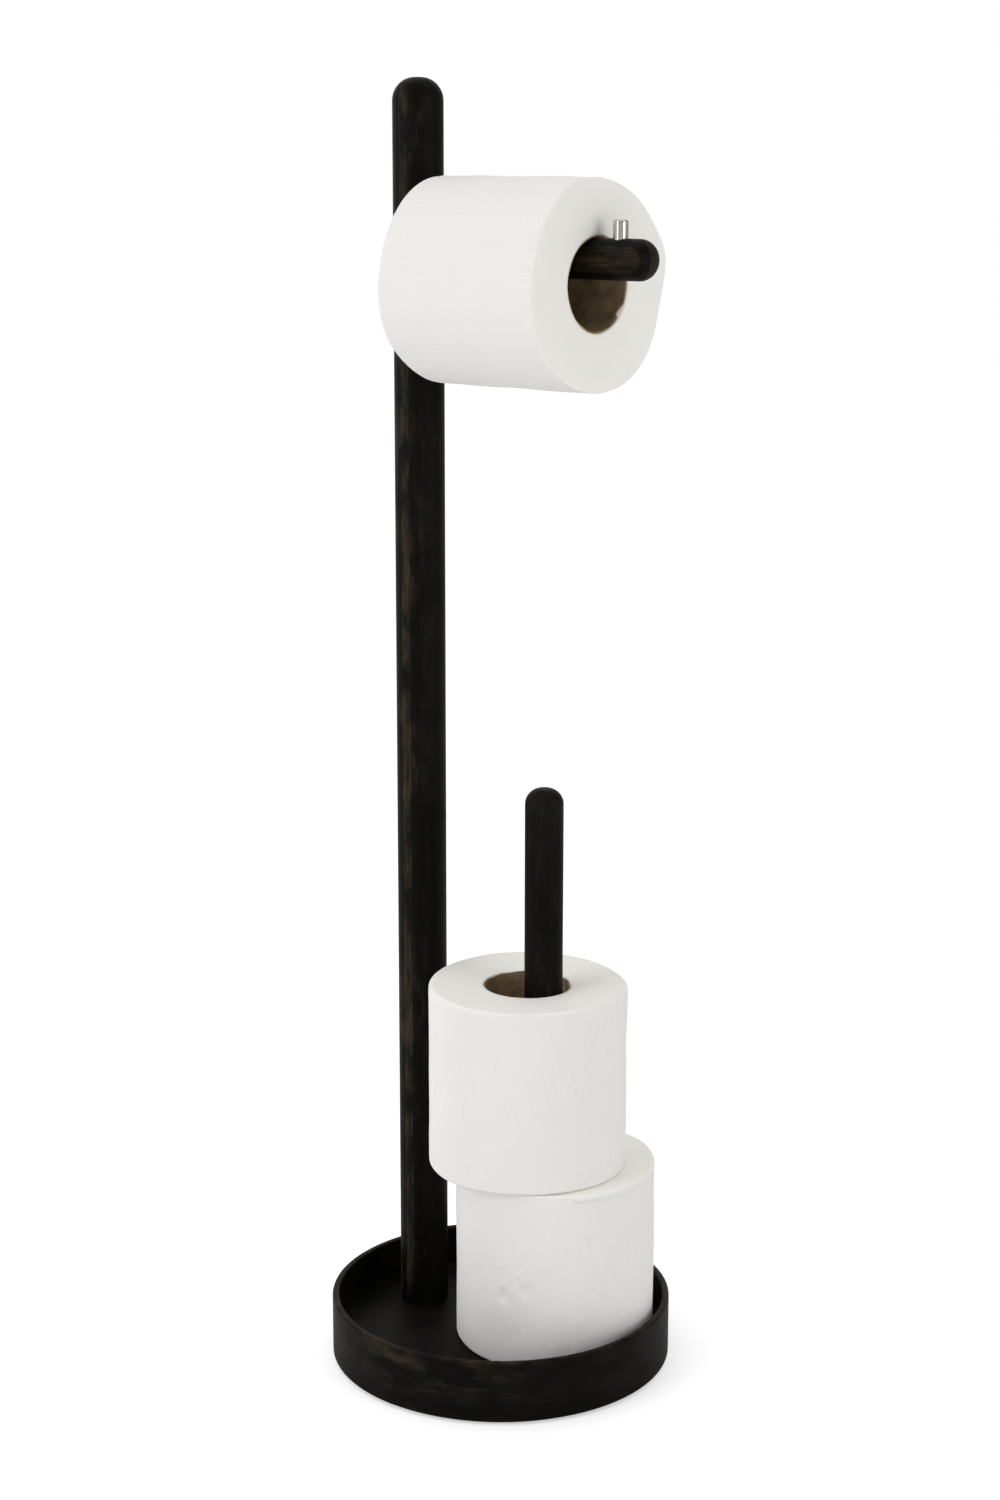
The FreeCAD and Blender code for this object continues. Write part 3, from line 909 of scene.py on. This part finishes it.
class STAND_OT_finish_fixings(bpy.types.Operator):
    """Finishes the ballast plate, screws, washers, inserts, locating pin and felt pad"""

    bl_idname = "stand.finish_fixings"
    bl_label = "Finish Fixings"

    def execute(self, context):
        metal = context.scene.stand_metal
        plated = turned_metal("plated_steel", metal.plated, metal.turning_pitch, 0.34)
        brass = turned_metal("turned_brass", metal.brass, metal.turning_pitch, 0.3)
        for node in ("ballast_plate", "ballast_screws", "post_bolt", "post_washer", "spindle_bolt",
                     "spindle_washer"):
            dress(node, plated)
        for node in ("post_insert", "spindle_insert"):
            dress(node, brass)
        dress("locating_dowel", plain_beech("plain_beech"))
        dress("base_pad", felt("black_felt"))
        return {"FINISHED"}


class STAND_OT_wind_rolls(bpy.types.Operator):
    """Winds the paper of the three rolls"""

    bl_idname = "stand.wind_rolls"
    bl_label = "Wind Paper Rolls"

    def execute(self, context):
        paper = context.scene.stand_paper
        finish = tissue("soft_tissue", paper)
        for body, form in ROLL_FORMS.items():
            node = body + "_paper"
            low, radius, width = roll_measures(node, body)
            bore = roll_measures(body + "_core", body)[1]
            piece = wound_roll(body + "_tissue", form, paper, bore, radius, width)
            place_roll(piece, body, low, finish)
            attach(piece, body)
            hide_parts(node)
        return {"FINISHED"}


class STAND_OT_form_cores(bpy.types.Operator):
    """Forms the cardboard cores of the three rolls"""

    bl_idname = "stand.form_cores"
    bl_label = "Form Roll Cores"

    def execute(self, context):
        paper = context.scene.stand_paper
        finish = kraft_board("kraft_board", paper)
        for body, form in ROLL_FORMS.items():
            node = body + "_core"
            low, outer, length = roll_measures(node, body)
            torn = math.radians(-45.0) if body == "hanging_roll" else None
            piece = core_tube(body + "_board_tube", form, paper, outer, length, torn)
            place_roll(piece, body, low, finish)
            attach(piece, body)
            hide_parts(node)
        return {"FINISHED"}


class STAND_OT_set_stage(bpy.types.Operator):
    """Sets the floor, the lights and the camera"""

    bl_idname = "stand.set_stage"
    bl_label = "Set Stage"

    def execute(self, context):
        stage = context.scene.stand_stage
        add_floor(stage)
        add_world(context.scene, stage)
        add_lights(stage)
        add_camera(context.scene, stage)
        context.scene.view_settings.view_transform = "Standard"
        return {"FINISHED"}


def add_floor(stage):
    """Level square, half_side each way, just under the felt pad."""
    half_side = 6.0
    drop = -0.0002
    share = np.array([[-1.0, -1.0], [1.0, -1.0], [1.0, 1.0], [-1.0, 1.0]])
    corners = np.column_stack([half_side * share, np.full(4, drop)])
    mesh = bpy.data.meshes.new("studio_floor")
    mesh.from_pydata(corners, [], [(0, 1, 2, 3)])
    mesh.materials.append(backdrop_material("pale_floor", stage.backdrop, stage.lift))
    floor = bpy.data.objects.new("studio_floor", mesh)
    bpy.context.scene.collection.objects.link(floor)


def add_world(scene, stage):
    """White surround, dimmer on the camera's side and on its right, as behind dark screens in a studio.

    The camera itself sees it fully white.
    """
    world = bpy.data.worlds.new("white_studio")
    world.use_nodes = True
    tree = world.node_tree
    tree.nodes.clear()
    board = NodeBoard(tree)
    way = board.add("ShaderNodeTexCoord").outputs["Generated"]
    forward = camera_side(stage, 0.0, 1.0, 0.0)
    right = camera_side(stage, 1.0, 0.0, 0.0)
    front = board.remap(board.measure("DOT_PRODUCT", way, forward), 0.0, 0.85, 1.0, stage.screen)
    side = board.remap(board.measure("DOT_PRODUCT", way, right), 0.1, 0.9, 1.0, stage.screen + 0.1)
    lit = board.times(board.times(front, side), stage.surround)
    seen = board.add("ShaderNodeLightPath").outputs["Is Camera Ray"]
    strength = board.plus(board.times(lit, board.minus(1.0, seen)), seen)
    shade = board.add("ShaderNodeBackground", {"Color": (1.0, 1.0, 1.0, 1.0), "Strength": strength})
    output = board.add("ShaderNodeOutputWorld")
    tree.links.new(shade.outputs[0], output.inputs["Surface"])
    scene.world = world


def add_area_light(name, place, target, size, power):
    """White soft light of size (width, height) at place, facing target."""
    data = bpy.data.lights.new(name, "AREA")
    data.shape = "RECTANGLE"
    data.size, data.size_y = size
    data.energy = power
    lamp = bpy.data.objects.new(name, data)
    lamp.location = place
    lamp.rotation_euler = (Vector(target) - Vector(place)).to_track_quat("-Z", "Y").to_euler()
    bpy.context.scene.collection.objects.link(lamp)


def camera_side(stage, right, back, height):
    """Point given by how far it is to the camera's right and towards the camera, and its height."""
    sine, cosine = math.sin(stage.azimuth), math.cos(stage.azimuth)
    return (right * cosine + back * sine, right * sine - back * cosine, height)


def add_lights(stage):
    """Softboxes on the camera's left and right, a low one behind it, and one overhead."""
    middle, tray = (0.0, 0.0, 0.33), (0.0, 0.0, 0.15)
    add_area_light("key_light", camera_side(stage, -1.6, 1.1, 0.95), middle, (1.0, 1.4), stage.key)
    add_area_light("fill_light", camera_side(stage, 1.45, 1.25, 0.75), middle, (0.9, 1.2), stage.fill)
    add_area_light("front_light", camera_side(stage, 0.0, 1.9, 0.5), tray, (1.6, 0.8), stage.front)
    add_area_light("top_light", camera_side(stage, 0.0, 0.2, 2.1), middle, (1.6, 1.6), stage.top)


def add_camera(scene, stage):
    """Camera at its azimuth, distance and height, looking level at the tray's axis and then pitched down."""
    data = bpy.data.cameras.new("camera")
    data.lens = stage.lens
    data.sensor_fit = "AUTO"
    data.sensor_width = 36.0
    data.clip_end = 50.0
    camera = bpy.data.objects.new("camera", data)
    camera.location = camera_side(stage, 0.0, stage.distance, stage.height)
    turn = Euler((0.5 * math.pi - stage.pitch, 0.0, stage.azimuth + stage.aim), "XYZ").to_matrix()
    camera.rotation_euler = (turn @ Matrix.Rotation(stage.tilt, 3, "Z")).to_euler()
    scene.collection.objects.link(camera)
    scene.camera = camera


class STAND_PT_panel(bpy.types.Panel):
    """Steps and settings of the stand"""

    bl_idname = "STAND_PT_panel"
    bl_label = "Toilet Paper Stand"
    bl_space_type = "VIEW_3D"
    bl_region_type = "UI"
    bl_category = "Paper Stand"

    def draw(self, context):
        for step in STEPS:
            self.layout.operator(step.bl_idname)
        for attribute, group in SETTING_GROUPS.items():
            box = self.layout.box()
            for key in group.__annotations__:
                box.prop(getattr(context.scene, attribute), key)


STEPS = (
    STAND_OT_stain_wood,
    STAND_OT_finish_stop_pin,
    STAND_OT_finish_fixings,
    STAND_OT_wind_rolls,
    STAND_OT_form_cores,
    STAND_OT_set_stage,
)


def register():
    for kind in (*SETTING_GROUPS.values(), *STEPS, STAND_PT_panel):
        bpy.utils.register_class(kind)
    for attribute, group in SETTING_GROUPS.items():
        setattr(bpy.types.Scene, attribute, bpy.props.PointerProperty(type=group))


def unregister():
    for attribute in SETTING_GROUPS:
        delattr(bpy.types.Scene, attribute)
    for kind in reversed((*SETTING_GROUPS.values(), *STEPS, STAND_PT_panel)):
        bpy.utils.unregister_class(kind)


def main():
    register()
    bpy.ops.stand.stain_wood()
    bpy.ops.stand.finish_stop_pin()
    bpy.ops.stand.finish_fixings()
    bpy.ops.stand.wind_rolls()
    bpy.ops.stand.form_cores()
    bpy.ops.stand.set_stage()


if __name__ == "__main__":
    main()
